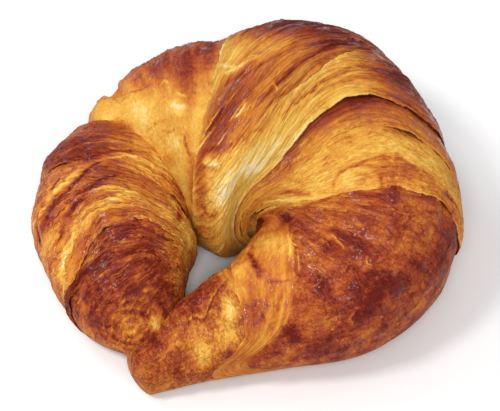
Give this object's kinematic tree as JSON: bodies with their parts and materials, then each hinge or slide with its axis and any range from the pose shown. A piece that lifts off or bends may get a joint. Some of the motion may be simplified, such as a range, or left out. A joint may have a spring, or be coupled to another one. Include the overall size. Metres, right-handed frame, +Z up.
{
  "type": "croissant",
  "caption": "Large curled butter croissant: one roll of wrapped, browned dough bent until its tips meet, with a small open centre.",
  "frame": {"origin": "centre of the bounding box at the baked underside, the level it rests on", "axes": "+Z up from the flat underside; -Y towards the two tips, +Y towards the fat middle; +X towards the longer right arm"},
  "size_m": [0.1198, 0.1187, 0.0607],
  "materials": {
    "crust": "egg-washed baked crust, glossy brown on the crests and matte pale gold in the folds"
  },
  "bodies": {
    "root": {"croissant": "crust"}
  },
  "joints": []
}
